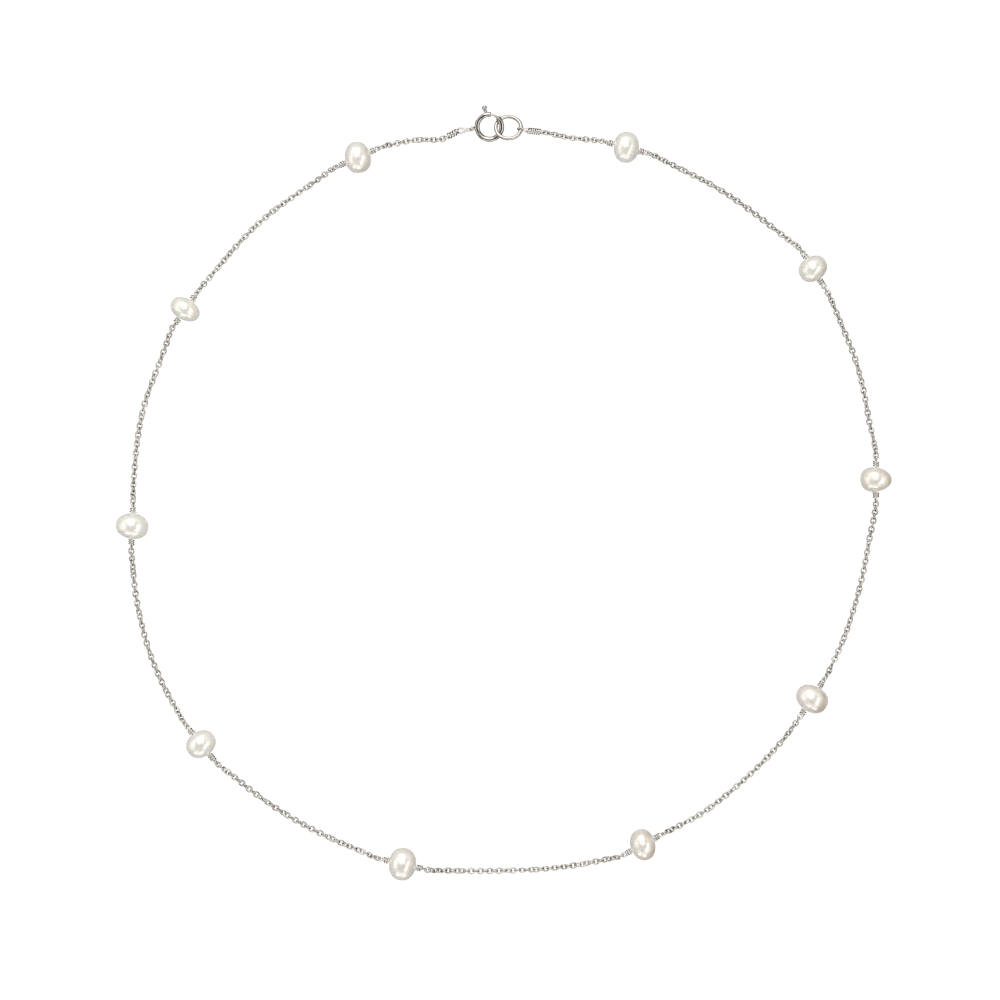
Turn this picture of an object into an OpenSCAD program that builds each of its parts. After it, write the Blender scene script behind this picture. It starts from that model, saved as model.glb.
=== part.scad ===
// Pearl station choker, fastened and lying flat: ten drilled pearls on wire eyes,
// fine cable chain between them, a spring ring clasp and a plain end ring.
// The origin is on the surface it lies on, at the middle of the loop. +Z is up.

/* [Pearls] */
// Bore through each pearl
bore_d = 0.5; // [0.46:0.02:0.6]
// Power of the pearl's outline: 2 is an ellipse, more is squarer
pearl_power = 2.2; // [2:0.1:2.6]
// Number of bands in a pearl's outline, from pole to pole
pearl_bands = 22; // [16:2:30]

/* [Wire] */
// Thickness of the wire that carries the pearls
wire_d = 0.34; // [0.3:0.02:0.38]
// Length of wire coil for each turn
turn_pitch = 0.33; // [0.31:0.01:0.33]
// Radius of an eye, to the middle of its wire
eye_r = 0.38; // [0.36:0.01:0.42]
// Gap between a pearl and its coils
pearl_gap = 0.13; // [0.12:0.01:0.16]

/* [Chain] */
// Thickness of the chain, as the tube that stands for it
chain_d = 1.1; // [1:0.05:1.2]
// Gap between the chain's ends and the eyes
chain_gap = 0.16; // [0.14:0.01:0.2]
// Length over which the chain sinks from an eye to the surface
fall_length = 6; // [5:0.5:7]

/* [Clasp] */
// Radius of the spring ring, to the middle of its tube
ring_r = 2.12; // [2.1:0.01:2.14]
// Thickness of the spring ring's tube
tube_d = 0.83; // [0.8:0.01:0.84]
// Bore of the spring ring's tube
tube_bore_d = 0.52; // [0.5:0.01:0.54]
// Thickness of the tongue that closes the gap
tongue_d = 0.36; // [0.34:0.01:0.38]
// Radius of the end ring, to the middle of its wire
end_ring_r = 2.15; // [2.13:0.01:2.16]
// Thickness of the end ring's wire
end_ring_d = 0.58; // [0.54:0.01:0.6]

/* [Hidden] */
PEARLS = ["01", "02", "03", "04", "05", "06", "07", "08", "09", "10"];
CHAINS = ["01", "02", "03", "04", "05", "06", "07", "08", "09", "10", "11"];

curve = 64;
overlap = 0.01;
core_end = 0.03;
silver = [0.78, 0.77, 0.75];
cream = [0.95, 0.92, 0.88];

// One row for each pearl, clockwise from the clasp. Centre, heading of the bore, length
// along the bore, thickness across it, how far the pearl is turned from its bore, and on
// the side of the chain that comes in and of the one that goes out, turns and eye roll.
CX = 0;
CY = 1;
HEADING = 2;
SHORT = 3;
LONG = 4;
SKEW = 5;
TURNS_IN = 6;
ROLL_IN = 7;
TURNS_OUT = 8;
ROLL_OUT = 9;
pearls = [
    [20.8, 58.6, -15, 4.3, 5.3, 10, 3, 60, 3, 35],
    [52.5, 38.0, -58, 4.1, 5.1, 2, 2, 20, 3, 0],
    [63.2, 2.2, -90, 4.1, 5.4, 0, 3, 75, 3, 70],
    [52.3, -35.0, -123, 4.4, 5.7, 2, 3, 40, 3, 0],
    [23.6, -59.8, -152, 4.2, 5.4, -11, 3, 30, 3, 0],
    [-17.2, -63.1, 167, 4.6, 5.6, 6, 3, 80, 3, 50],
    [-51.4, -42.7, 129, 4.3, 5.3, -3, 4, 60, 3, 40],
    [-63.1, -5.7, 88, 4.3, 5.6, -6, 3, 75, 3, 60],
    [-54.1, 31.1, 55, 3.6, 5.3, 5, 3, 70, 3, 45],
    [-24.8, 56.9, 24, 4.4, 5.4, -14, 3, 45, 3, 30],
];

// Where the chain lies between the eyes at its two ends, seen from above
routes = [
    [[10, 60.6], [13.5, 60.1]],
    [[27.5, 56.3], [31, 54.6], [36, 52], [41, 48.7], [45.5, 45.3], [48.5, 42.9]],
    [[56, 32], [57.7, 28], [59.7, 23], [61.2, 17.5], [62.2, 12], [62.9, 8.8]],
    [[62.9, -4.5], [62.2, -8], [61.2, -13.5], [59.8, -19], [58, -24.5], [56.2, -28.5]],
    [[48.4, -40.9], [46.2, -43.6], [42.4, -47.5], [38.2, -51.2], [34, -54.4], [30, -56.6]],
    [[17.3, -62.4], [13.5, -63.2], [7.5, -64], [1.5, -64.3], [-5, -64.4], [-10, -64.3]],
    [[-24, -61.1], [-27.5, -59.7], [-33, -57.1], [-38, -54.2], [-43, -50.7], [-46.3, -48]],
    [[-55.6, -37], [-57.6, -33.5], [-60, -28], [-61.6, -22.5], [-62.7, -17], [-63.1, -12.5]],
    [[-63, 1.2], [-62.8, 4.5], [-62.2, 10], [-61, 15.5], [-59.2, 20.5], [-57.6, 24.7]],
    [[-50.1, 36.5], [-47.8, 39.3], [-44, 43.6], [-40, 47.3], [-35.5, 50.6], [-31.2, 53.5]],
    [[-18.5, 59.3], [-15, 60]],
];

eye_reach = 2 * eye_r + wire_d / 2;

// Spring ring: one side is lifted over the end ring, and angles run anticlockwise from +X
ring_at = [-2.45, 62.2];
ring_tilt = 12.5;
ring_lift = 0.04;
ring_z = tube_d / 2 + ring_r * sin(ring_tilt) + ring_lift;
gap_from = 48;
gap_to = 84;
gap_angle = gap_to - gap_from;
nub_angle = 104;
travel = 42;
tongue_in = 5;
tongue_tail = 22;
slot_margin = 7;
slot_w = 0.48;
neck_d = 0.36;
neck_end_r = 3.3;
head_end_r = 3.67;
head_d = 0.82;
head_dish = 0.12;

// Eyelet soldered to the spring ring's outside
eyelet_angle = 186.5;
eyelet_roll = 50;
eyelet_d = 0.26;
eyelet_r = 0.36;
eyelet_at_r = 2.92;
foot_from_r = 2.4;
foot_to_r = 2.66;
foot_d = 0.7;

// End ring: its far side lies on the surface and its near side on the spring ring
end_ring_at = [0.8, 62.05];
end_ring_tilt = 26;
end_ring_z = end_ring_d / 2 + end_ring_r * sin(end_ring_tilt);

// End wires. Each has a long eye, a coil and a small eye, and a bend behind the long eye.
end_wire_d = 0.32;
left_eye_r = 0.39;
left_eye_l = 2.58;
left_eye_heading = 189.7;
left_eye_pitch = -4;
left_eye_roll = -40;
left_coil_heading = 208;
left_coil_pitch = 0;
left_turns = 4;
left_turn_pitch = 0.47;
left_small_roll = 80;
right_eye_r = 0.51;
right_eye_l = 1.68;
right_eye_angle = -8.6;
right_eye_heading = -12;
right_eye_pitch = 5.9;
right_eye_roll = 66;
right_coil_heading = -5;
right_coil_pitch = 10;
right_turns = 6;
right_turn_pitch = 0.37;
right_small_roll = 50;

// Unit vector of a heading about Z and a pitch below the level
function ray(heading, pitch = 0) =
    [cos(pitch) * cos(heading), cos(pitch) * sin(heading), -sin(pitch)];
function flat(p) = [p[0], p[1]];
function unit(v) = v / norm(v);

// A point of the tilted spring ring's own plane, at a radius and an angle
function on_ring(r, angle) =
    let (
        ne = [1, 1, 0] / sqrt(2),
        p = r * ray(angle),
        along = p * ne
    )
    [ring_at[0], ring_at[1], ring_z] + p
        + along * (cos(ring_tilt) - 1) * ne + [0, 0, along * sin(ring_tilt)];
function on_end_ring(angle) =
    [
        end_ring_at[0] + end_ring_r * cos(angle),
        end_ring_at[1] + end_ring_r * sin(angle) * cos(end_ring_tilt),
        end_ring_z - end_ring_r * sin(angle) * sin(end_ring_tilt)
    ];

left_tip = on_ring(eyelet_at_r, eyelet_angle);
left_bend = left_tip + left_eye_l * ray(left_eye_heading, left_eye_pitch);
left_end = left_bend
    + (left_turns * left_turn_pitch + eye_reach) * ray(left_coil_heading, left_coil_pitch);
right_tip = on_end_ring(right_eye_angle)
    - (right_eye_r + 0.02) * ray(right_eye_heading, right_eye_pitch);
right_bend = right_tip + right_eye_l * ray(right_eye_heading, right_eye_pitch);
right_end = right_bend
    + (right_turns * right_turn_pitch + eye_reach) * ray(right_coil_heading, right_coil_pitch);

// The outer end of a pearl's eye, plus the chain's gap, on the side given by -1 or 1
function eye_end(i, side) =
    let (
        p = pearls[i],
        turns = side < 0 ? p[TURNS_IN] : p[TURNS_OUT],
        reach = p[SHORT] / 2 + pearl_gap + turns * turn_pitch + eye_reach + chain_gap
    )
    [p[CX], p[CY], p[LONG] / 2] + side * reach * ray(p[HEADING]);

// The chain's two ends
function chain_start(i) =
    i == 0 ? right_end + chain_gap * ray(right_coil_heading) : eye_end(i - 1, 1);
function chain_stop(i) =
    i == len(pearls) ? left_end + chain_gap * ray(left_coil_heading) : eye_end(i, -1);

// How high above the surface the chain still is, at a distance from an end of height h
function fall(h, distance) =
    (h - chain_d / 2) * pow(max(0, 1 - distance / fall_length), 2);
function chain_points(i) =
    let (
        a = chain_start(i),
        b = chain_stop(i)
    )
    concat(
        [a],
        [for (p = routes[i])
            [p[0], p[1], chain_d / 2
                + fall(a[2], norm(p - flat(a))) + fall(b[2], norm(p - flat(b)))]],
        [b]
    );

// Tube of eight sides swept along points, with a flat side below
tube_sides = 8;
module swept_tube(points, d) {
    last = len(points) - 1;
    r = d / 2 / cos(180 / tube_sides);
    rings = [for (i = [0:last])
        let (
            along = unit(points[min(i + 1, last)] - points[max(i - 1, 0)]),
            side = unit(cross([0, 0, 1], along)),
            up = cross(along, side)
        )
        for (k = [0:tube_sides - 1])
            let (a = 360 * (k + 0.5) / tube_sides)
            points[i] + r * (cos(a) * side + sin(a) * up)];
    walls = [for (i = [0:last - 1], k = [0:tube_sides - 1])
        let (
            n = tube_sides,
            m = (k + 1) % n
        )
        [i * n + k, (i + 1) * n + k, (i + 1) * n + m, i * n + m]];
    first_cap = [for (k = [0:tube_sides - 1]) k];
    last_cap = [for (k = [tube_sides - 1:-1:0]) last * tube_sides + k];
    polyhedron(points = rings, faces = concat([first_cap], walls, [last_cap]));
}

// Ring of round wire, whole or in part, in the plane z = 0
module round_ring(r, d, from = 0, angle = 360) {
    rotate([0, 0, from])
        rotate_extrude(angle = angle, $fn = curve)
            translate([r, 0])
                circle(d = d, $fn = curve);
}

// Rod along +X
module rod(l, d) {
    rotate([0, 90, 0])
        cylinder(h = l, d = d, $fn = curve);
}

// Coil of wire along +X from the origin, with each turn as a bead round the core
module coil(turns, pitch, d) {
    r = d - overlap;
    rotate([0, 90, 0])
        rotate_extrude($fn = curve)
            union() {
                translate([0, -core_end])
                    square([r, turns * pitch + 2 * core_end]);
                for (i = [0:turns - 1])
                    translate([r, (i + 0.5) * pitch])
                        circle(d = d, $fn = curve);
            }
}

// Coil with its small eye, along +X from the origin
module coil_and_eye(turns, pitch, d, roll) {
    coil(turns, pitch, d);
    rotate([roll, 0, 0])
        translate([turns * pitch + eye_r, 0, 0])
            round_ring(eye_r, d);
}

// Long eye along +X, with the middle of its wire at the origin at one end and at l
module long_eye(l, r, d) {
    translate([r, 0, 0])
        round_ring(r, d, 90, 180);
    translate([l - r, 0, 0])
        round_ring(r, d, -90, 180);
    for (side = [-1, 1])
        translate([r, side * r, 0])
            rod(l - 2 * r, d);
}

module pearl_place(i) {
    p = pearls[i];
    translate([p[CX], p[CY], p[LONG] / 2])
        rotate([0, 0, p[HEADING]])
            children();
}

function outline(short, long) =
    [for (k = [0:pearl_bands])
        let (
            a = 180 * k / pearl_bands,
            power = 2 / pearl_power,
            along = sign(cos(a)) * pow(abs(cos(a)), power)
        )
        [long / 2 * pow(max(0, sin(a)), power), short / 2 * along]];

module pearl(i) {
    p = pearls[i];
    color(cream)
        pearl_place(i)
            difference() {
                rotate([0, 0, p[SKEW]])
                    rotate([0, 90, 0])
                        rotate_extrude($fn = curve)
                            polygon(outline(p[SHORT], p[LONG]));
                translate([-p[LONG], 0, 0])
                    rod(2 * p[LONG], bore_d);
            }
}

module pearl_wire(i) {
    p = pearls[i];
    from = p[SHORT] / 2 + pearl_gap;
    color(silver)
        pearl_place(i) {
            translate([-from - turn_pitch, 0, 0])
                rod(2 * (from + turn_pitch), wire_d);
            translate([from, 0, 0])
                coil_and_eye(p[TURNS_OUT], turn_pitch, wire_d, p[ROLL_OUT]);
            mirror([1, 0, 0])
                translate([from, 0, 0])
                    coil_and_eye(p[TURNS_IN], turn_pitch, wire_d, p[ROLL_IN]);
        }
}

module chain(i) {
    color(silver)
        swept_tube(chain_points(i), chain_d);
}

module end_wire_left() {
    color(silver) {
        translate(left_tip)
            rotate([0, left_eye_pitch, left_eye_heading])
                rotate([left_eye_roll, 0, 0])
                    long_eye(left_eye_l, left_eye_r, end_wire_d);
        translate(left_bend)
            rotate([0, left_coil_pitch, left_coil_heading])
                coil_and_eye(left_turns, left_turn_pitch, end_wire_d, left_small_roll);
    }
}

module end_wire_right() {
    color(silver) {
        translate(right_tip)
            rotate([0, right_eye_pitch, right_eye_heading])
                rotate([right_eye_roll, 0, 0])
                    long_eye(right_eye_l, right_eye_r, end_wire_d);
        translate(right_bend)
            rotate([0, right_coil_pitch, right_coil_heading])
                coil_and_eye(right_turns, right_turn_pitch, end_wire_d, right_small_roll);
    }
}

module ring_place() {
    translate([ring_at[0], ring_at[1], ring_z])
        rotate(a = ring_tilt, v = [1, -1, 0])
            children();
}

module eyelet() {
    rotate([0, 0, eyelet_angle]) {
        translate([eyelet_at_r, 0, 0])
            rotate([eyelet_roll, 0, 0])
                round_ring(eyelet_r, eyelet_d);
        translate([foot_from_r, 0, 0])
            rotate([0, 90, 0])
                cylinder(h = foot_to_r - foot_from_r, d1 = foot_d, d2 = eyelet_d, $fn = curve);
    }
}

module clasp_ring() {
    color(silver)
        ring_place()
            difference() {
                union() {
                    round_ring(ring_r, tube_d, gap_to, 360 - gap_angle);
                    eyelet();
                }
                round_ring(ring_r, tube_bore_d, gap_to - 1, 362 - gap_angle);
                rotate([0, 0, nub_angle - slot_margin])
                    rotate_extrude(angle = travel + 2 * slot_margin, $fn = curve)
                        translate([ring_r, -slot_w / 2])
                            square([tube_d, slot_w]);
            }
}

module clasp_trigger() {
    color(silver)
        ring_place() {
            round_ring(ring_r, tongue_d, gap_from - tongue_in,
                nub_angle + tongue_tail - gap_from + tongue_in);
            rotate([0, 0, nub_angle])
                translate([ring_r, 0, 0])
                    rotate([0, 90, 0])
                        rotate_extrude($fn = curve)
                            polygon([
                                [0, 0],
                                [neck_d / 2, 0],
                                [neck_d / 2, neck_end_r - ring_r],
                                [head_d / 2, head_end_r - ring_r - head_dish],
                                [head_d / 2, head_end_r - ring_r],
                                [0, head_end_r - ring_r - head_dish]
                            ]);
        }
}

module end_ring() {
    color(silver)
        translate([end_ring_at[0], end_ring_at[1], end_ring_z])
            rotate([-end_ring_tilt, 0, 0])
                round_ring(end_ring_r, end_ring_d);
}

for (i = [0:len(PEARLS) - 1]) {
    pearl(i);
    pearl_wire(i);
}
for (i = [0:len(CHAINS) - 1])
    chain(i);
end_wire_left();
end_wire_right();
clasp_ring();
clasp_trigger();
end_ring();
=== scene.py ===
"""Looks of the pearl station choker: pearls, wrapped wire eyes, cable chain and clasp."""

import math
import random
from collections import namedtuple

import bmesh
import bpy
import numpy as np
from mathutils import Matrix, Vector, noise


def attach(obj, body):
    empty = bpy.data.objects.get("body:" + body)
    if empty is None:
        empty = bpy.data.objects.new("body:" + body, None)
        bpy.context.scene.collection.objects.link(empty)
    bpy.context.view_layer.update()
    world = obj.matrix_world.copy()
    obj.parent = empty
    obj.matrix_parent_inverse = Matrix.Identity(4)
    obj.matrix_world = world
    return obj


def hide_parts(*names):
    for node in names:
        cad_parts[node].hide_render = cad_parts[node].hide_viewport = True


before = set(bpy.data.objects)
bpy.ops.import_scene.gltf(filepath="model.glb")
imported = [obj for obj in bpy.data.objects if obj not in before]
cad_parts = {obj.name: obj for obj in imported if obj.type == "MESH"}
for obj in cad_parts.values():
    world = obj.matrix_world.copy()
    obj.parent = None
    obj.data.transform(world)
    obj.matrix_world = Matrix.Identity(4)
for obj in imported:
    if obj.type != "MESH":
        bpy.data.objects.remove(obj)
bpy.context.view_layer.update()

NECKLACE = "necklace"
TRIGGER = "trigger"

# Camera straight above: the size that one pixel shows at FOCUS_Z, the pixel that shows the
# origin, and the width of the view in pixels
PIXEL = 0.00017
ORIGIN_PX = (503.8, 492.5)
FRAME_PX = 1000
FOCUS_Z = 0.0015
LENS = 200
SENSOR = 36

# Wire, chain and their gaps, as the part's source has them
WIRE_D = 0.00034
TURN_PITCH = 0.00033
EYE_R = 0.00038
PEARL_GAP = 0.00013
BORE_R = 0.00025
CHAIN_D = 0.0011
CHAIN_GAP = 0.00016
FALL_LENGTH = 0.006
PEARL_POWER = 2.2

# Cable link, how unevenly it rolls in degrees, links in a run, and links that turn
# towards an eye
LINK_WIRE_D = 0.00025
LINK_LENGTH = 0.0013
LINK_WIDTH = 0.0011
LINK_LEAN = 20
LINK_WANDER = 8
RUN_LINKS = (4, 9)
EYE_LINKS = 5
CHAIN_SEED = 100
PATH_STEP = 0.00005

# One row for each pearl, clockwise from the clasp, as in the part's source. Then how much
# the pearl narrows towards its left side, how uneven its skin is, how warm its colour, and
# how strongly its lower and right-hand sides are darkened to a warm rim colour: partly a
# pink flush, mostly painted shade.
Pearl = namedtuple(
    "Pearl",
    "x y heading short long skew turns_in roll_in turns_out roll_out taper uneven warmth flush",
)
PEARLS = [
    Pearl(0.0208, 0.0586, -15, 0.0043, 0.0053, 10, 3, 60, 3, 35, -0.03, 0.4, 0.4, 0.6),
    Pearl(0.0525, 0.0380, -58, 0.0041, 0.0051, 2, 2, 20, 3, 0, 0.02, 0.5, 0.5, 1.0),
    Pearl(0.0632, 0.0022, -90, 0.0041, 0.0054, 0, 3, 75, 3, 70, 0.15, 0.6, 0.9, 1.6),
    Pearl(0.0523, -0.0350, -123, 0.0044, 0.0057, 2, 3, 40, 3, 0, -0.06, 0.4, 0.4, 1.7),
    Pearl(0.0236, -0.0598, -152, 0.0042, 0.0054, -11, 3, 30, 3, 0, 0.03, 0.5, 0.6, 1.9),
    Pearl(-0.0172, -0.0631, 167, 0.0046, 0.0056, 6, 3, 80, 3, 50, 0.02, 0.4, 0.4, 1.0),
    Pearl(-0.0514, -0.0427, 129, 0.0043, 0.0053, -3, 4, 60, 3, 40, -0.03, 0.5, 0.6, 0.3),
    Pearl(-0.0631, -0.0057, 88, 0.0043, 0.0056, -6, 3, 75, 3, 60, 0.04, 0.7, 0.8, 0.1),
    Pearl(-0.0541, 0.0311, 55, 0.0036, 0.0053, 5, 3, 70, 3, 45, -0.04, 0.5, 1.0, 0.2),
    Pearl(-0.0248, 0.0569, 24, 0.0044, 0.0054, -14, 3, 45, 3, 30, 0.05, 0.4, 0.4, 1.0),
]

# Where the chain lies between the eyes at its two ends, as in the part's source
ROUTES = [
    [(0.0100, 0.0606), (0.0135, 0.0601)],
    [(0.0275, 0.0563), (0.0310, 0.0546), (0.0360, 0.0520), (0.0410, 0.0487), (0.0455, 0.0453),
     (0.0485, 0.0429)],
    [(0.0560, 0.0320), (0.0577, 0.0280), (0.0597, 0.0230), (0.0612, 0.0175), (0.0622, 0.0120),
     (0.0629, 0.0088)],
    [(0.0629, -0.0045), (0.0622, -0.0080), (0.0612, -0.0135), (0.0598, -0.0190),
     (0.0580, -0.0245), (0.0562, -0.0285)],
    [(0.0484, -0.0409), (0.0462, -0.0436), (0.0424, -0.0475), (0.0382, -0.0512),
     (0.0340, -0.0544), (0.0300, -0.0566)],
    [(0.0173, -0.0624), (0.0135, -0.0632), (0.0075, -0.0640), (0.0015, -0.0643),
     (-0.0050, -0.0644), (-0.0100, -0.0643)],
    [(-0.0240, -0.0611), (-0.0275, -0.0597), (-0.0330, -0.0571), (-0.0380, -0.0542),
     (-0.0430, -0.0507), (-0.0463, -0.0480)],
    [(-0.0556, -0.0370), (-0.0576, -0.0335), (-0.0600, -0.0280), (-0.0616, -0.0225),
     (-0.0627, -0.0170), (-0.0631, -0.0125)],
    [(-0.0630, 0.0012), (-0.0628, 0.0045), (-0.0622, 0.0100), (-0.0610, 0.0155),
     (-0.0592, 0.0205), (-0.0576, 0.0247)],
    [(-0.0501, 0.0365), (-0.0478, 0.0393), (-0.0440, 0.0436), (-0.0400, 0.0473),
     (-0.0355, 0.0506), (-0.0312, 0.0535)],
    [(-0.0185, 0.0593), (-0.0150, 0.0600)],
]

# Spring ring and end ring, as in the part's source
TUBE_D = 0.00083
RING_R = 0.00212
RING_AT = (-0.00245, 0.0622)
RING_TILT = 12.5
RING_LIFT = 0.00004
RING_Z = TUBE_D / 2 + RING_R * math.sin(math.radians(RING_TILT)) + RING_LIFT
EYELET_ANGLE = 186.5
EYELET_AT_R = 0.00292
END_RING_AT = (0.0008, 0.06205)
END_RING_R = 0.00215
END_RING_D = 0.00058
END_RING_TILT = 26
END_RING_Z = END_RING_D / 2 + END_RING_R * math.sin(math.radians(END_RING_TILT))

# The two end wires: long eye, bend, open or close coil, small eye. The long eye's half width
# and roll are given at its tip, its waist and where it is widest, next to the coil.
EndWire = namedtuple(
    "EndWire",
    "wire_d tip_r waist_r wide_r eye_l eye_heading eye_pitch tip_roll wide_roll"
    " coil_heading coil_pitch coil_r turns turn_pitch roll",
)
LEFT = EndWire(
    wire_d=0.00032, tip_r=0.0003, waist_r=0.00027, wide_r=0.00045,
    eye_l=0.00258, eye_heading=189.7, eye_pitch=-4, tip_roll=-50, wide_roll=-20,
    coil_heading=208, coil_pitch=0, coil_r=0.0004, turns=4, turn_pitch=0.00047, roll=80,
)
RIGHT = EndWire(
    wire_d=0.00027, tip_r=0.00051, waist_r=0.00048, wide_r=0.00044,
    eye_l=0.00168, eye_heading=-12, eye_pitch=5.9, tip_roll=66, wide_roll=60,
    coil_heading=-5, coil_pitch=10, coil_r=0.00042, turns=6, turn_pitch=0.00037, roll=50,
)
RIGHT_EYE_ANGLE = -8.6
RIGHT_EYE_PLAY = 0.00002
EYE_REACH = 2 * EYE_R + WIRE_D / 2


def ray(heading, pitch=0):
    """Unit vector of a heading about Z and a pitch below the level, in degrees."""
    h, p = math.radians(heading), math.radians(pitch)
    return Vector((math.cos(p) * math.cos(h), math.cos(p) * math.sin(h), -math.sin(p)))


def on_spring_ring(radius, angle):
    """A point of the tilted spring ring's own plane."""
    north_east = Vector((1, 1, 0)).normalized()
    tilt = math.radians(RING_TILT)
    point = radius * ray(angle)
    along = point.dot(north_east)
    lifted = along * (math.cos(tilt) - 1) * north_east + Vector((0, 0, along * math.sin(tilt)))
    return Vector((*RING_AT, RING_Z)) + point + lifted


def on_end_ring(angle):
    a, tilt = math.radians(angle), math.radians(END_RING_TILT)
    return Vector((
        END_RING_AT[0] + END_RING_R * math.cos(a),
        END_RING_AT[1] + END_RING_R * math.sin(a) * math.cos(tilt),
        END_RING_Z - END_RING_R * math.sin(a) * math.sin(tilt),
    ))


LEFT_TIP = on_spring_ring(EYELET_AT_R, EYELET_ANGLE)
RIGHT_TIP = on_end_ring(RIGHT_EYE_ANGLE) - (RIGHT.tip_r + RIGHT_EYE_PLAY) * ray(
    RIGHT.eye_heading, RIGHT.eye_pitch
)


def bend_of(tip, wire):
    """Where an end wire's long eye meets its coil."""
    return tip + wire.eye_l * ray(wire.eye_heading, wire.eye_pitch)


def end_of(tip, wire, reach):
    """A point on the axis of an end wire's coil, past the coil by reach."""
    coil = wire.turns * wire.turn_pitch
    return bend_of(tip, wire) + (coil + reach) * ray(wire.coil_heading, wire.coil_pitch)


def eye_point(pearl, side, reach):
    """A point on the axis of a pearl's wire, past the coil by reach, on side -1 or 1."""
    turns = pearl.turns_in if side < 0 else pearl.turns_out
    distance = pearl.short / 2 + PEARL_GAP + turns * TURN_PITCH + reach
    return Vector((pearl.x, pearl.y, pearl.long / 2)) + side * distance * ray(pearl.heading)


# Meshes

SHARP_ANGLE = 42
# Corners closer than this are made one
WELD = 0.0000005
# A direction that no wire starts along
ASKEW = (0.31, 0.17, 0.93)
# Size and reach of the rings that round off a wire's end, in radii of the wire
DOME = [(0.95, 0.3), (0.7, 0.7), (0.35, 0.93)]


def smooth_line(points, step):
    """Points a step apart along the centripetal Catmull-Rom curve through points."""
    p = [np.array(q, float) for q in points]
    p = [2 * p[0] - p[1], *p, 2 * p[-1] - p[-2]]
    dense = []
    for a, b, c, d in zip(p, p[1:], p[2:], p[3:]):
        t1 = math.sqrt(np.linalg.norm(b - a))
        t2 = t1 + math.sqrt(np.linalg.norm(c - b))
        t3 = t2 + math.sqrt(np.linalg.norm(d - c))
        count = max(4, int(4 * np.linalg.norm(c - b) / step))
        for t in np.linspace(t1, t2, count, endpoint=False):
            ab = a + (b - a) * t / t1
            bc = b + (c - b) * (t - t1) / (t2 - t1)
            cd = c + (d - c) * (t - t2) / (t3 - t2)
            abc = ab + (bc - ab) * t / t2
            bcd = bc + (cd - bc) * (t - t1) / (t3 - t1)
            dense.append(abc + (bcd - abc) * (t - t1) / (t2 - t1))
    dense.append(p[-2])
    return even_line(np.array(dense), step)


def even_line(line, step):
    """The same line with its points an even step apart."""
    gaps = np.linalg.norm(np.diff(line, axis=0), axis=1)
    length = np.concatenate([[0], np.cumsum(gaps)])
    count = max(2, round(length[-1] / step) + 1)
    at = np.linspace(0, length[-1], count)
    return np.stack([np.interp(at, length, column) for column in line.T], axis=1)


def ring_faces(rings, sides, closed=True):
    """Faces between rings of corners, also from the last ring to the first if closed."""
    faces = []
    for r in range(rings if closed else rings - 1):
        n = (r + 1) % rings
        for s in range(sides):
            t = (s + 1) % sides
            faces.append((r * sides + s, n * sides + s, n * sides + t, r * sides + t))
    return faces


def swept_wire(line, radius, sides=12):
    """Vertices and faces of a round wire along a line, with domed ends."""
    tangents = np.gradient(line, axis=0)
    tangents /= np.linalg.norm(tangents, axis=1)[:, None]
    across = np.cross(tangents[0], ASKEW)
    across /= np.linalg.norm(across)
    angles = np.linspace(0, 2 * math.pi, sides, endpoint=False)
    rings = []
    for point, along in zip(line, tangents):
        across = across - along * across.dot(along)
        across /= np.linalg.norm(across)
        up = np.cross(along, across)
        rings.append((point, across, up))
    profile = [(0, -out, size) for size, out in reversed(DOME)]
    profile += [(k, 0, 1) for k in range(len(line))]
    profile += [(len(line) - 1, out, size) for size, out in DOME]
    verts = []
    for k, out, size in profile:
        point, across, up = rings[k]
        for a in angles:
            offset = size * (math.cos(a) * across + math.sin(a) * up)
            verts.append(point + radius * (offset + out * tangents[k]))
    faces = []
    for r in range(len(profile) - 1):
        for s in range(sides):
            n = (s + 1) % sides
            faces.append((r * sides + s, r * sides + n,
                          (r + 1) * sides + n, (r + 1) * sides + s))
    last = (len(profile) - 1) * sides
    faces.append(tuple(range(sides - 1, -1, -1)))
    faces.append(tuple(range(last, last + sides)))
    return np.array(verts), faces


def join(parts):
    """Several (vertices, faces) as one."""
    verts, faces, base = [], [], 0
    for part_verts, part_faces in parts:
        verts.append(part_verts)
        faces += [tuple(i + base for i in face) for face in part_faces]
        base += len(part_verts)
    return np.concatenate(verts), faces


def new_object(name, verts, faces):
    mesh = bpy.data.meshes.new(name)
    mesh.from_pydata([tuple(v) for v in verts], [], faces)
    obj = bpy.data.objects.new(name, mesh)
    bpy.context.scene.collection.objects.link(obj)
    return obj


def finish_piece(obj, material, replaced, body=NECKLACE):
    """Smooth shading, material, body, and the CAD node that the piece stands for."""
    obj.data.shade_smooth()
    obj.data.set_sharp_from_angle(angle=math.radians(SHARP_ANGLE))
    obj.data.materials.append(material)
    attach(obj, body)
    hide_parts(replaced)
    return obj


def fused(name, parts):
    """Overlapping closed parts as one solid mesh object."""
    obj, *others = [new_object(name, *part) for part in parts]
    for other in others:
        union = obj.modifiers.new("union", "BOOLEAN")
        union.operation = "UNION"
        union.solver = "EXACT"
        union.object = other
    evaluated = obj.evaluated_get(bpy.context.evaluated_depsgraph_get())
    mesh = bpy.data.meshes.new_from_object(evaluated)
    obj.modifiers.clear()
    welded = bmesh.new()
    welded.from_mesh(mesh)
    bmesh.ops.remove_doubles(welded, verts=welded.verts, dist=WELD)
    welded.to_mesh(mesh)
    welded.free()
    obj.data = mesh
    mesh.name = name
    for other in others:
        bpy.data.objects.remove(other)
    return obj


def moved(part, matrix):
    verts, faces = part
    return [matrix @ Vector(v) for v in verts], faces


# Materials

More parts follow.
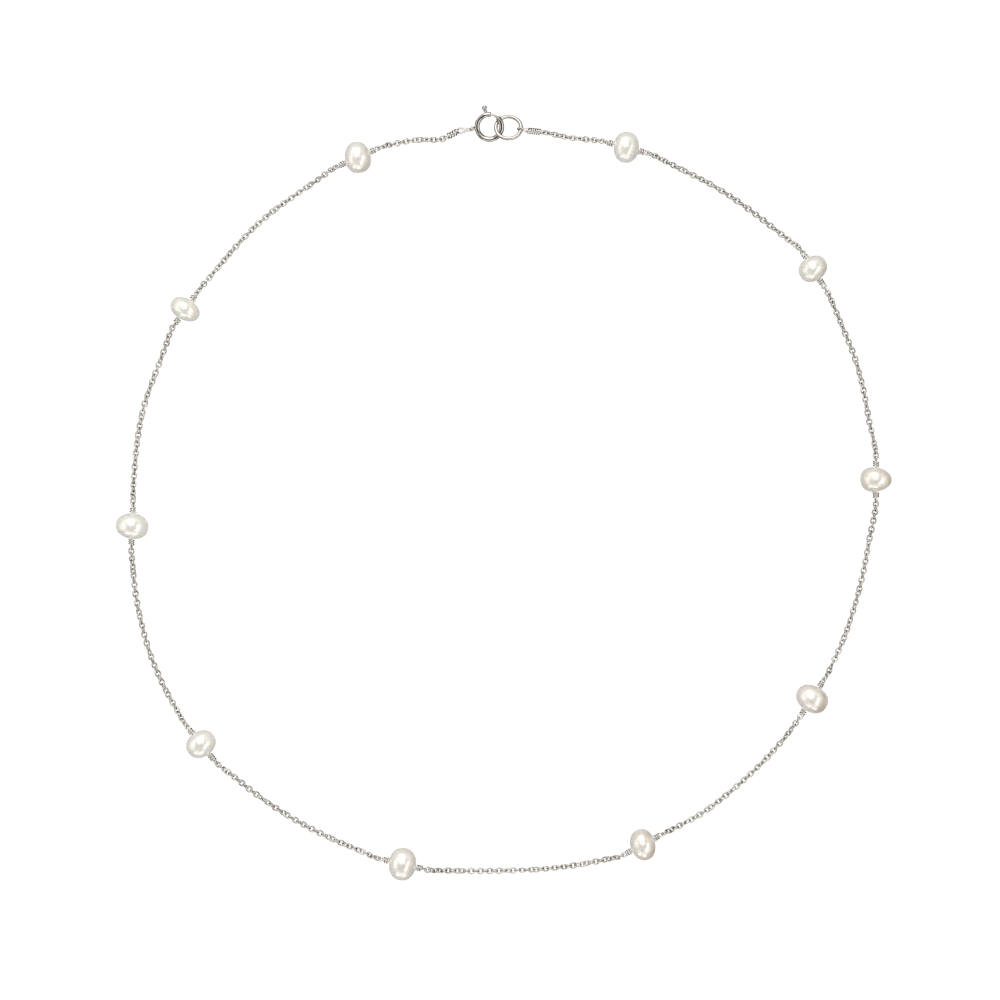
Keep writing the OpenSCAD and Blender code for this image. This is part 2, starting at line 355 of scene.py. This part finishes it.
# Share that tarnish leaves of silver's red, green and blue
TARNISH = (0.84, 0.79, 0.72)
NACRE = {
    "Metallic": 0.2,
    "IOR": 1.55,
    "Coat Weight": 0.7,
    "Coat Roughness": 0.13,
    "Sheen Weight": 1.0,
    "Sheen Roughness": 0.4,
    "Subsurface Weight": 0.15,
    "Subsurface Scale": 0.0004,
}


def node_adder(tree):
    """A function that adds a node to the tree and links or sets its inputs."""

    def add(kind, inputs=(), **settings):
        node = tree.nodes.new("ShaderNode" + kind)
        for key, value in settings.items():
            setattr(node, key, value)
        for socket, value in dict(inputs).items():
            if isinstance(value, bpy.types.NodeSocket):
                tree.links.new(value, node.inputs[socket])
            else:
                node.inputs[socket].default_value = value
        return node

    return add


def new_material(name):
    """A new material, with its tree, its shader and a function that adds a node."""
    material = bpy.data.materials.new(name)
    material.use_nodes = True
    tree = material.node_tree
    return material, tree, tree.nodes["Principled BSDF"], node_adder(tree)


def ramp(add, factor, *stops):
    """A colour ramp's output. A stop is a place and a colour, or a grey level."""
    node = add("ValToRGB", {"Fac": factor})
    elements = node.color_ramp.elements
    while len(elements) < len(stops):
        elements.new(0.5)
    for element, (place, colour) in zip(elements, stops):
        element.position = place
        element.color = (*colour, 1) if isinstance(colour, tuple) else (colour, colour, colour, 1)
    return node.outputs["Color"]


def mixed(add, factor, a, b, blend="MIX"):
    """A mix of two colours, each a tuple or another node's output."""
    a, b = ((*c, 1) if isinstance(c, tuple) else c for c in (a, b))
    return add("Mix", {0: factor, 6: a, 7: b}, data_type="RGBA", blend_type=blend).outputs[2]


def silver(name, tone, rough, grain):
    """Polished silver: soft streaks of handling in its gloss, and a faint warm tarnish."""
    material, tree, shader, add = new_material(name)
    place = add("TexCoord").outputs["Object"]
    fine = add("TexNoise", {"Vector": place, "Scale": grain, "Detail": 4.0, "Roughness": 0.6})
    broad = add("TexNoise", {"Vector": place, "Scale": grain / 9, "Detail": 2.0})
    tarnish = tuple(c * f for c, f in zip(tone, TARNISH))
    cover = ramp(add, broad.outputs["Fac"], (0.5, 0.0), (0.72, 0.5))
    tree.links.new(mixed(add, cover, tone, tarnish), shader.inputs["Base Color"])
    gloss = add(
        "MapRange", {"Value": fine.outputs["Fac"], "To Min": rough * 0.6, "To Max": rough * 1.6}
    )
    tree.links.new(gloss.outputs["Result"], shader.inputs["Roughness"])
    bump = add("Bump", {"Height": fine.outputs["Fac"], "Strength": 0.12, "Distance": 0.00002})
    tree.links.new(bump.outputs["Normal"], shader.inputs["Normal"])
    shader.inputs["Metallic"].default_value = 1.0
    return material


def nacre():
    """Pearl skin: white body, fine growth lines, cream, pink and painted shade on the lower and
    right-hand sides.
    """
    material, tree, shader, add = new_material("nacre")
    coords = add("TexCoord")
    warmth = add("Attribute", attribute_name="warmth").outputs["Fac"]
    sides = add("SeparateXYZ", {"Vector": coords.outputs["Generated"]})
    cloud = add("TexNoise", {"Vector": coords.outputs["Object"], "Scale": 420.0, "Detail": 3.0})
    # The skin is darkened towards a warm rim colour on its lower half and its right-hand side, as
    # far as each pearl's own value says: a pink flush, and painted shade.
    height = add("Math", {0: sides.outputs["Z"], 1: cloud.outputs["Fac"]}, operation="ADD")
    low = ramp(add, add("Math", {0: height.outputs[0], 1: 2.0}, operation="DIVIDE").outputs[0],
               (0.42, 1.0), (0.8, 0.0))
    east = add("MapRange", {"Value": sides.outputs["X"], "From Min": 0.4, "To Min": 0.28})
    flush = add("Math", {0: low, 1: east.outputs["Result"]}, operation="MULTIPLY")
    depth = add("Attribute", attribute_name="flush").outputs["Fac"]
    amount = add("Math", {0: flush.outputs[0], 1: depth}, operation="MULTIPLY")
    body = mixed(add, warmth, (0.95, 0.94, 0.905), (0.955, 0.93, 0.85))
    # Rim colour, much darker than the body: painted shade with a pink flush.
    rim = mixed(add, warmth, (0.61, 0.485, 0.385), (0.59, 0.46, 0.31))
    skin = mixed(add, amount.outputs[0], body, rim)
    veil = add("TexNoise", {"Vector": coords.outputs["Object"], "Scale": 260.0, "Detail": 2.0})
    overtone = ramp(
        add, veil.outputs["Fac"], (0.35, (1.0, 0.988, 0.988)), (0.65, (0.99, 1.0, 0.99))
    )
    tree.links.new(mixed(add, 1.0, skin, overtone, "MULTIPLY"), shader.inputs["Base Color"])
    lines = add("Attribute", attribute_name="growth").outputs["Fac"]
    wobble = add("TexNoise", {"Vector": coords.outputs["Object"], "Scale": 2600.0, "Detail": 5.0})
    relief = add("Math", {0: lines, 1: wobble.outputs["Fac"]}, operation="ADD")
    bump = add("Bump", {"Height": relief.outputs[0], "Strength": 0.25, "Distance": 0.00002})
    tree.links.new(bump.outputs["Normal"], shader.inputs["Normal"])
    gloss = add("MapRange", {"Value": cloud.outputs["Fac"], "To Min": 0.17, "To Max": 0.26})
    tree.links.new(gloss.outputs["Result"], shader.inputs["Roughness"])
    for socket, value in NACRE.items():
        shader.inputs[socket].default_value = value
    return material


# Pearls

POLE_RINGS = 56
ROUND_STEPS = 96
# Where the last row of the bore's wall lies, as a share of the way to its rim
BORE_ROW = 0.9
# Broad and fine unevenness of the skin: size, scale, how far it moves on in the noise from
# one pearl to the next, and the level of the noise at which the skin isn't pulled inwards
UNEVEN_SIZE = 0.00007
UNEVEN_SCALE = 320
UNEVEN_SHIFT = 7.3
UNEVEN_TOP = 0.6
LUMP_SIZE = 0.000008
LUMP_SCALE = 1100
LUMP_SHIFT = 5.1
LUMP_TOP = 0.8
GROWTH_LINES = 46
GROWTH_WANDER = 2


def pearl_radii(pearl):
    """Rows of place along the bore and radius, once round the section of the pearl."""
    power = 2 / PEARL_POWER
    steps = 4 * POLE_RINGS
    outline = []
    for k in range(1, steps):
        a = math.pi * k / steps
        radius = pearl.long / 2 * math.sin(a) ** power
        along = pearl.short / 2 * math.copysign(abs(math.cos(a)) ** power, math.cos(a))
        if radius > BORE_R:
            outline.append((along, radius))
    outline = even_line(np.array(outline), math.pi * pearl.long / 2 / POLE_RINGS)
    along = outline[0][0]
    return [(0.0, BORE_R), (along * BORE_ROW, BORE_R), *outline, (-along * BORE_ROW, BORE_R)]


def make_pearl(name, index, pearl, material):
    """A drilled pearl whose skin is slightly uneven, narrowing towards one side."""
    turn = math.radians(pearl.heading + pearl.skew)
    axis = Vector((math.cos(turn), math.sin(turn), 0))
    left = Vector((-math.sin(turn), math.cos(turn), 0))
    up = Vector((0, 0, 1))
    centre = Vector((pearl.x, pearl.y, pearl.long / 2))
    radii = pearl_radii(pearl)
    verts, growth = [], []
    for along, radius in radii:
        for s in range(ROUND_STEPS):
            a = 2 * math.pi * s / ROUND_STEPS
            sideways = radius * math.cos(a)
            share = sideways / (pearl.long / 2)
            narrowed = along * (1 - pearl.taper * share)
            point = axis * narrowed + left * sideways + up * radius * math.sin(a)
            swell = noise.noise(point * UNEVEN_SCALE + Vector((index * UNEVEN_SHIFT, 0, 0)))
            lump = noise.noise(point * LUMP_SCALE + Vector((0, index * LUMP_SHIFT, 0)))
            uneven = max(0, UNEVEN_TOP - swell) * UNEVEN_SIZE * pearl.uneven
            skin = min(1, max(0, (radius - BORE_R) / (pearl.long / 4)))
            inward = (uneven + (LUMP_TOP - lump) * LUMP_SIZE) * skin
            verts.append(centre + point - point.normalized() * inward)
            growth.append(math.sin(GROWTH_LINES * along / pearl.short + GROWTH_WANDER * swell))
    obj = new_object(name, verts, ring_faces(len(radii), ROUND_STEPS))
    finish_piece(obj, material, name.replace("nacre", "pearl"))
    values_of = {
        "growth": growth,
        "warmth": [pearl.warmth] * len(verts),
        "flush": [pearl.flush] * len(verts),
    }
    for label, values in values_of.items():
        attribute = obj.data.attributes.new(label, "FLOAT", "POINT")
        attribute.data.foreach_set("value", np.array(values, np.float32))
    return obj


# Wires

WRAP_WIRE_D = 0.00025
WRAP_R = 0.0004
# Gap between a pearl and the last turn, and how far the wire's cut end stands out
WRAP_END_GAP = 0.00002
TAIL_OUT = 0.00018
# Roll at which a wrap ends, just past the top, so that its last turn meets the pearl there
WRAP_END_ROLL = 150
# Where round an eye the wire comes in and goes out, and the step between its points
EYE_OPENING = 150
EYE_CLOSING = 125
EYE_STEP = 25
WIRE_STEP = 0.00004
# Points in a turn, and the one at which an end wire's coil takes over from its long eye
WRAP_STEPS = 12
FIRST_WRAP_STEP = 4


def eye_and_wrap(base, radius, wrap_to, turns, wire_d, wrap_r, roll):
    """Control points along +X: stem bends into an eye, closes it and wraps back to wrap_to."""
    centre = base + radius
    points = [(base - radius / 4, 0, 0)]
    for angle in range(-EYE_OPENING, EYE_CLOSING + 1, EYE_STEP):
        a = math.radians(angle)
        points.append((centre + radius * math.cos(a), radius * math.sin(a), 0))
    past = (WRAP_END_ROLL - roll) % 360
    if past >= 90:
        past -= 360
    steps = round(WRAP_STEPS * (turns + past / 360))
    start = base - wire_d / 4
    stop = wrap_to + wire_d / 2
    for k in range(1, steps + 1):
        a = 2 * math.pi * k / WRAP_STEPS
        x = start + (stop - start) * k / steps
        points.append((x, wrap_r * math.cos(a), wrap_r * math.sin(a)))
    x, y, z = points[-1]
    grow = 1 + TAIL_OUT / wrap_r
    points.append((x + wire_d / 6, y * grow, z * grow + wire_d / 2))
    return points


def placed(points, origin, heading, pitch, roll):
    """Points along +X, rolled about it, then turned to a heading and pitch and moved."""
    along = ray(heading, pitch)
    level = Vector((-math.sin(math.radians(heading)), math.cos(math.radians(heading)), 0))
    above = along.cross(level)
    r = math.radians(roll)
    left = math.cos(r) * level + math.sin(r) * above
    up = math.cos(r) * above - math.sin(r) * level
    return [origin + x * along + y * left + z * up for x, y, z in points]


def make_pearl_wire(name, pearl, material):
    """One wire: wrap, eye, through the pearl, eye, wrap."""
    centre = Vector((pearl.x, pearl.y, pearl.long / 2))
    start = pearl.short / 2 + PEARL_GAP
    ends = []
    sides = [
        (pearl.heading + 180, pearl.turns_in, -pearl.roll_in),
        (pearl.heading, pearl.turns_out, pearl.roll_out),
    ]
    for heading, turns, roll in sides:
        base = start + turns * TURN_PITCH
        wrap_to = pearl.short / 2 + WRAP_END_GAP
        local = eye_and_wrap(base, EYE_R, wrap_to, turns, WRAP_WIRE_D, WRAP_R, roll)
        ends.append(placed(local, centre, heading, 0, roll))
    line = smooth_line([*reversed(ends[0]), *ends[1]], WIRE_STEP)
    obj = new_object(name, *swept_wire(line, WRAP_WIRE_D / 2))
    return finish_piece(obj, material, name.replace("wrap", "wire"))


def long_eye_line(tip, wire):
    """Control points of an end wire's long eye, from the coil round the tip and back."""
    length, tip_r, waist_r, wide_r = wire.eye_l, wire.tip_r, wire.waist_r, wire.wide_r
    # Distance from the tip and half width, from the coil to the waist
    strand = [(length - 0.3 * wide_r, 0.75 * wide_r), (length - wide_r, wide_r),
              (length - 1.8 * wide_r, 0.8 * wide_r), (0.45 * length, waist_r)]
    points = [(length + wire.wire_d / 2, 0), *((x, -y) for x, y in strand)]
    for angle in range(-90, 91, 30):
        a = math.radians(angle)
        points.append((tip_r - tip_r * math.cos(a), tip_r * math.sin(a)))
    points += reversed(strand)
    line = []
    for x, y in points:
        roll = wire.tip_roll + (wire.wide_roll - wire.tip_roll) * max(0, x) / length
        line += placed([(x, y, 0)], tip, wire.eye_heading, wire.eye_pitch, roll)
    return line


def make_end_wire(name, tip, wire, material, replaced):
    """One wire: small eye for the chain, stem, long eye, coil round the stem."""
    bend = bend_of(tip, wire)
    coil = wire.turns * wire.turn_pitch
    heading, pitch = wire.coil_heading, wire.coil_pitch
    wire_d = wire.wire_d
    small = eye_and_wrap(coil, EYE_R, coil - wire.turn_pitch, 1, wire_d, wire_d, WRAP_END_ROLL)
    small = placed(small, bend, heading, pitch, wire.roll)
    wraps = []
    steps = WRAP_STEPS * wire.turns
    for k in range(FIRST_WRAP_STEP, steps + 1):
        a = 2 * math.pi * k / WRAP_STEPS
        x = coil * k / steps
        wraps.append((x, wire.coil_r * math.cos(a), wire.coil_r * math.sin(a)))
    wraps = placed(wraps, bend, heading, pitch, wire.wide_roll)
    line = smooth_line([*reversed(small), *long_eye_line(tip, wire), *wraps], WIRE_STEP)
    obj = new_object(name, *swept_wire(line, wire_d / 2))
    return finish_piece(obj, material, replaced)


# Clasp

# Angles lie in the spring ring's own plane, anticlockwise from +X
TUBE_BORE_R = 0.00026
GAP_FROM, GAP_TO = 48, 84
SLOT_FROM, SLOT_TO = 96, 153
SLOT_W = 0.00048
# Steps round the tube's section, across its slot and round the rest
SLOT_STEPS = 6
REST_STEPS = 34
# Rounding of the tube's two ends, and the degrees from an end at which it has more rows
LIP = 0.00005
LIP_ROWS = [0, 0.3, 0.8, 1.6]
TUBE_STEP = 3
TONGUE_R = 0.00018
TONGUE_FROM, TONGUE_TO = 43, 126
NUB_ANGLE = 104
EYELET_ROLL = 50
EYELET_R = 0.00036
EYELET_WIRE_R = 0.00013
# Nub and solder foot: radius and distance from the ring's centre, outwards
NUB = [(0.00012, 0.00205), (0.0002, 0.00225), (0.0002, 0.00258), (0.00031, 0.00262),
       (0.0003, 0.00275), (0.00027, 0.00305), (0.00028, 0.00314), (0.00038, 0.00319),
       (0.00042, 0.00326), (0.00042, 0.0034), (0.0004, 0.0035), (0.00035, 0.00359),
       (0.00027, 0.00364), (0.00014, 0.00367)]
FOOT = [(0.00042, 0.0023), (0.00038, 0.00243), (0.00029, 0.00251), (0.00021, 0.00258),
        (0.00016, 0.00266), (0.00013, 0.00276)]


def ring_of(radius, wire_radius, steps=180, sides=32):
    """A closed ring of round wire in the plane z = 0."""
    verts = []
    for k in range(steps):
        u = 2 * math.pi * k / steps
        for s in range(sides):
            v = 2 * math.pi * s / sides
            reach = radius + wire_radius * math.cos(v)
            verts.append((reach * math.cos(u), reach * math.sin(u), wire_radius * math.sin(v)))
    return verts, ring_faces(steps, sides)


def lathed(profile, sides=40):
    """A closed solid turned about X from rows of radius and place along X."""
    verts = []
    for radius, x in profile:
        for s in range(sides):
            a = 2 * math.pi * s / sides
            verts.append((x, radius * math.cos(a), radius * math.sin(a)))
    faces = ring_faces(len(profile), sides, closed=False)
    last = (len(profile) - 1) * sides
    faces.append(tuple(range(sides)))
    faces.append(tuple(range(last + sides - 1, last - 1, -1)))
    return verts, faces


def split_turn(radius):
    """Angles once round a tube's section, with lines along both edges of its slot."""
    half_slot = math.asin(SLOT_W / 2 / radius)
    across = np.linspace(-half_slot, half_slot, SLOT_STEPS, endpoint=False)
    round_back = np.linspace(half_slot, 2 * math.pi - half_slot, REST_STEPS, endpoint=False)
    return [*across, *round_back]


def spring_tube():
    """Hollow tube bent round the ring, open at its gap and slotted outside for the nub."""
    sides = SLOT_STEPS + REST_STEPS
    first, last = GAP_TO, GAP_FROM + 360
    angles = [
        *(first + a for a in LIP_ROWS),
        *range(first + TUBE_STEP, last, TUBE_STEP),
        *(last - a for a in reversed(LIP_ROWS)),
    ]
    verts = []
    for radius, lip_share in ((TUBE_D / 2, -1), (TUBE_BORE_R, 1 / 3)):
        for angle in angles:
            from_end = math.radians(min(angle - first, last - angle)) * RING_R
            rounding = LIP * max(0, 1 - from_end / LIP) ** 2
            r = radius + lip_share * rounding
            u = math.radians(angle)
            for v in split_turn(radius):
                reach = RING_R + r * math.cos(v)
                verts.append((reach * math.cos(u), reach * math.sin(u), r * math.sin(v)))
    inside = len(angles) * sides
    faces = []
    for k in range(len(angles) - 1):
        slotted = SLOT_FROM <= angles[k] and angles[k + 1] <= SLOT_TO
        for s in range(sides):
            t = (s + 1) % sides
            a, b, c, d = k * sides + s, (k + 1) * sides + s, (k + 1) * sides + t, k * sides + t
            if slotted and s < SLOT_STEPS:
                continue
            faces += [(a, b, c, d), (inside + d, inside + c, inside + b, inside + a)]
        if slotted:
            for s, order in ((0, 1), (SLOT_STEPS, -1)):
                a, b = k * sides + s, (k + 1) * sides + s
                faces.append((a, b, inside + b, inside + a)[::order])
    for k, order in ((0, 1), (len(angles) - 1, -1)):
        for s in range(sides):
            a, b = k * sides + s, k * sides + (s + 1) % sides
            faces.append((a, b, inside + b, inside + a)[::order])
    for angle, order in ((SLOT_FROM, -1), (SLOT_TO, 1)):
        k = angles.index(angle)
        for s in range(SLOT_STEPS):
            a, b = k * sides + s, k * sides + s + 1
            faces.append((a, b, inside + b, inside + a)[::order])
    return verts, faces


def ring_place():
    """Moves the spring ring's own plane to its tilted place."""
    tilt = Matrix.Rotation(math.radians(RING_TILT), 4, Vector((1, -1, 0)))
    return Matrix.Translation((*RING_AT, RING_Z)) @ tilt


def turned(angle):
    return Matrix.Rotation(math.radians(angle), 4, "Z")


def make_spring_ring(material):
    at = ring_place() @ turned(EYELET_ANGLE)
    roll = Matrix.Rotation(math.radians(EYELET_ROLL), 4, "X")
    eyelet = moved(ring_of(EYELET_R, EYELET_WIRE_R, 64, 20),
                   at @ Matrix.Translation((EYELET_AT_R, 0, 0)) @ roll)
    parts = [moved(spring_tube(), ring_place()), moved(lathed(FOOT), at), eyelet]
    finish_piece(fused("spring_ring", parts), material, "clasp_ring")


def make_trigger(material):
    arc = [RING_R * ray(a) for a in range(TONGUE_FROM, TONGUE_TO + 1)]
    tongue = swept_wire(np.array([tuple(p) for p in arc]), TONGUE_R, 24)
    parts = [moved(tongue, ring_place()), moved(lathed(NUB), ring_place() @ turned(NUB_ANGLE))]
    finish_piece(fused("tongue", parts), material, "clasp_trigger", TRIGGER)


def make_end_ring(material):
    tilt = Matrix.Rotation(math.radians(-END_RING_TILT), 4, "X")
    at = Matrix.Translation((*END_RING_AT, END_RING_Z)) @ tilt
    ring = new_object("jump_ring", *moved(ring_of(END_RING_R, END_RING_D / 2), at))
    finish_piece(ring, material, "end_ring")


# Chain

LINK_STEPS = 28
LINK_SIDES = 10
HOOK_PLAY = 0.00001


def link_template():
    """One cable link in its own frame: length along X, width along Y."""
    radius = (LINK_WIDTH - LINK_WIRE_D) / 2
    half_straight = (LINK_LENGTH - LINK_WIDTH) / 2
    above = np.array((0, 0, 1))
    verts = []
    for k in range(LINK_STEPS):
        a = 2 * math.pi * (k + 0.5) / LINK_STEPS
        out = np.array((math.cos(a), math.sin(a), 0))
        centre = radius * out + (math.copysign(half_straight, math.cos(a)), 0, 0)
        for s in range(LINK_SIDES):
            b = 2 * math.pi * s / LINK_SIDES
            offset = math.cos(b) * out + math.sin(b) * above
            verts.append(centre + LINK_WIRE_D / 2 * offset)
    return np.array(verts), ring_faces(LINK_STEPS, LINK_SIDES)


def half_turn(angle):
    """The same roll of a link as an angle of at most a quarter turn either way."""
    return (angle + 90) % 180 - 90


def fall(height, distance):
    """How high above the surface the chain still is, at a distance from an end."""
    return (height - CHAIN_D / 2) * max(0, 1 - max(0, distance) / FALL_LENGTH) ** 2


def chain_ends(i):
    """For a chain's two ends: where its tube ends, where its link hooks, and the eye's roll."""
    hook, left_hook, right_hook = (
        2 * EYE_R - (wire_d + LINK_WIRE_D) / 2 - HOOK_PLAY
        for wire_d in (WRAP_WIRE_D, LEFT.wire_d, RIGHT.wire_d)
    )
    reach = EYE_REACH + CHAIN_GAP
    if i == 0:
        start = (end_of(RIGHT_TIP, RIGHT, EYE_REACH) + CHAIN_GAP * ray(RIGHT.coil_heading),
                 end_of(RIGHT_TIP, RIGHT, right_hook), RIGHT.roll)
    else:
        pearl = PEARLS[i - 1]
        start = eye_point(pearl, 1, reach), eye_point(pearl, 1, hook), pearl.roll_out
    if i == len(PEARLS):
        stop = (end_of(LEFT_TIP, LEFT, EYE_REACH) + CHAIN_GAP * ray(LEFT.coil_heading),
                end_of(LEFT_TIP, LEFT, left_hook), -LEFT.roll)
    else:
        pearl = PEARLS[i]
        stop = eye_point(pearl, -1, reach), eye_point(pearl, -1, hook), pearl.roll_in
    return start, stop


def chain_line(i):
    """The chain's middle line from hook to hook, and the rolls of the eyes at its ends."""
    (start, start_hook, start_roll), (stop, stop_hook, stop_roll) = chain_ends(i)
    flat = [(*p[:2], 0) for p in (start_hook, start, *ROUTES[i], stop, stop_hook)]
    line = smooth_line(flat, PATH_STEP)
    at = np.arange(len(line)) * np.linalg.norm(line[1] - line[0])
    before = (start_hook - start).length
    after = (stop_hook - stop).length
    for point, distance in zip(line, at):
        left_over = at[-1] - distance
        point[2] = CHAIN_D / 2 + fall(start.z, distance - before) + fall(stop.z, left_over - after)
    return even_line(line, PATH_STEP), start_roll, stop_roll


def link_rolls(count, start_roll, stop_roll, chance):
    """Roll of each link. Runs lie flat and on edge in turn, with a part turn between runs."""
    lying, level = [], 0
    while len(lying) < count:
        lean = level + chance.choice((-LINK_LEAN, LINK_LEAN))
        lying += [lean + chance.gauss(0, LINK_WANDER) for _ in range(chance.randint(*RUN_LINKS))]
        turn = chance.choice((-1, 1))
        lying += [level + 30 * turn, level + 60 * turn]
        level += 90 * turn
    rolls = [roll + 90 * k for k, roll in enumerate(lying[:count])]
    at_start = half_turn(start_roll + 90 - rolls[0])
    at_stop = half_turn(stop_roll + 90 - rolls[-1])
    return [
        roll
        + at_start * max(0, 1 - k / EYE_LINKS)
        + at_stop * max(0, 1 - (count - 1 - k) / EYE_LINKS)
        for k, roll in enumerate(rolls)
    ]


def make_chain(name, i, material):
    """Interlocked cable links along the chain's line."""
    chance = random.Random(CHAIN_SEED + i)
    line, start_roll, stop_roll = chain_line(i)
    length = len(line) * PATH_STEP
    inside = LINK_LENGTH - LINK_WIRE_D
    pitch = inside - LINK_WIRE_D
    count = math.ceil((length - LINK_WIRE_D) / pitch)
    pitch = (length - inside) / (count - 1)
    template, link_faces = link_template()
    rolls = link_rolls(count, start_roll, stop_roll, chance)
    parts = []
    for k, roll in enumerate(rolls):
        a = line[min(len(line) - 1, round(k * pitch / PATH_STEP))]
        b = line[min(len(line) - 1, round((k * pitch + inside) / PATH_STEP))]
        along = Vector(b - a).normalized()
        level = Vector((0, 0, 1)).cross(along).normalized()
        above = along.cross(level)
        r = math.radians(roll)
        side = math.cos(r) * level + math.sin(r) * above
        turn = np.array([along, side, along.cross(side)])
        parts.append((template @ turn + (a + b) / 2, link_faces))
    obj = new_object(name, *join(parts))
    return finish_piece(obj, material, name.replace("links", "chain"))


# Stage


def make_camera():
    data = bpy.data.cameras.new("camera")
    data.lens = LENS
    data.sensor_width = SENSOR
    camera = bpy.data.objects.new("camera", data)
    bpy.context.scene.collection.objects.link(camera)
    middle = FRAME_PX / 2
    distance = FRAME_PX * PIXEL * LENS / SENSOR
    camera.location = (
        (middle - ORIGIN_PX[0]) * PIXEL,
        (ORIGIN_PX[1] - middle) * PIXEL,
        FOCUS_Z + distance,
    )
    bpy.context.scene.camera = camera


FLOOR_HALF = 3.0
FLOOR_GLOW = 0.97


def make_floor():
    """Opal sheet, lit from below to an even white."""
    half = FLOOR_HALF
    corners = [(-half, -half, 0), (half, -half, 0), (half, half, 0), (-half, half, 0)]
    mesh = bpy.data.meshes.new("floor")
    mesh.from_pydata(corners, [], [(0, 1, 2, 3)])
    floor = bpy.data.objects.new("floor", mesh)
    bpy.context.scene.collection.objects.link(floor)
    material, tree, shader, add = new_material("opal")
    place = add("TexCoord").outputs["Object"]
    grain = add("TexNoise", {"Vector": place, "Scale": 900.0})
    tone = ramp(add, grain.outputs["Fac"], (0.3, 0.1), (0.7, 0.12))
    tree.links.new(tone, shader.inputs["Base Color"])
    shader.inputs["Roughness"].default_value = 0.9
    shader.inputs["Emission Color"].default_value = (1, 1, 1, 1)
    shader.inputs["Emission Strength"].default_value = FLOOR_GLOW
    mesh.materials.append(material)
    floor.visible_glossy = False


# Tilt from overhead and azimuth, in degrees, then width, height, distance and brightness
Softbox = namedtuple("Softbox", "name tilt azimuth width height distance radiance")
SOFTBOXES = [
    Softbox("key", 40, 101, 1.1, 2.0, 1.2, 1.5),
    Softbox("veil", 50, 126, 2.4, 1.2, 1.3, 0.55),
    Softbox("left", 72, 189, 0.36, 0.46, 0.5, 0.7),
    Softbox("right", 46, -24, 1.6, 0.6, 1.2, 1.85),
    Softbox("low", 80, -95, 1.3, 0.8, 1.2, 0.8),
    Softbox("low_left", 92, 240, 0.4, 0.3, 1.2, 2.1),
    Softbox("low_right", 90, -84, 0.4, 0.3, 1.2, 2.1),
]


def make_lights():
    for box in SOFTBOXES:
        data = bpy.data.lights.new(box.name, "AREA")
        data.shape = "RECTANGLE"
        data.size = box.width
        data.size_y = box.height
        data.energy = box.radiance * math.pi * box.width * box.height
        light = bpy.data.objects.new(box.name, data)
        away = ray(box.azimuth, box.tilt - 90)
        light.location = box.distance * away
        light.rotation_mode = "QUATERNION"
        light.rotation_quaternion = away.to_track_quat("Z", "Y")
        light.visible_camera = False
        bpy.context.scene.collection.objects.link(light)


# From straight below to straight overhead: place and brightness, and the tint of it all
SKY = [(0.0, 0.02), (0.46, 0.05), (0.53, 0.2), (0.61, 0.68), (0.77, 0.52), (0.88, 0.06),
       (1.0, 0.015)]
SKY_TINT = (1, 0.96, 0.9)


def make_world():
    """Soft room light: darker overhead and below, paler above the horizon."""
    world = bpy.data.worlds.new("studio")
    world.use_nodes = True
    tree = world.node_tree
    add = node_adder(tree)
    split = add("SeparateXYZ", {"Vector": add("TexCoord").outputs["Generated"]})
    height = add("MapRange", {"Value": split.outputs["Z"], "From Min": -1.0})
    stops = [(place, tuple(level * c for c in SKY_TINT)) for place, level in SKY]
    shade = ramp(add, height.outputs["Result"], *stops)
    tree.links.new(shade, tree.nodes["Background"].inputs["Color"])
    bpy.context.scene.world = world
    bpy.context.scene.view_settings.view_transform = "Standard"


make_camera()
make_floor()
make_lights()
make_world()

pearl_skin = nacre()
# One silver in three copies: the chain's and the clasp's are darker than the wire's, painted shade
# for the dark surroundings that they reflect.
wire_silver = silver("wire_silver", (0.8, 0.775, 0.73), 0.1, 5200)
shaded_chain_silver = silver("shaded_chain_silver", (0.64, 0.615, 0.57), 0.12, 5200)
shaded_clasp_silver = silver("shaded_clasp_silver", (0.59, 0.565, 0.52), 0.05, 2600)

for i, pearl in enumerate(PEARLS):
    number = f"{i + 1:02d}"
    make_pearl(f"nacre_{number}", i, pearl, pearl_skin)
    make_pearl_wire(f"wrap_{number}", pearl, wire_silver)
for i in range(len(ROUTES)):
    make_chain(f"links_{i + 1:02d}", i, shaded_chain_silver)
make_end_wire("wrap_left", LEFT_TIP, LEFT, wire_silver, "end_wire_left")
make_end_wire("wrap_right", RIGHT_TIP, RIGHT, wire_silver, "end_wire_right")
make_spring_ring(shaded_clasp_silver)
make_trigger(shaded_clasp_silver)
make_end_ring(shaded_clasp_silver)
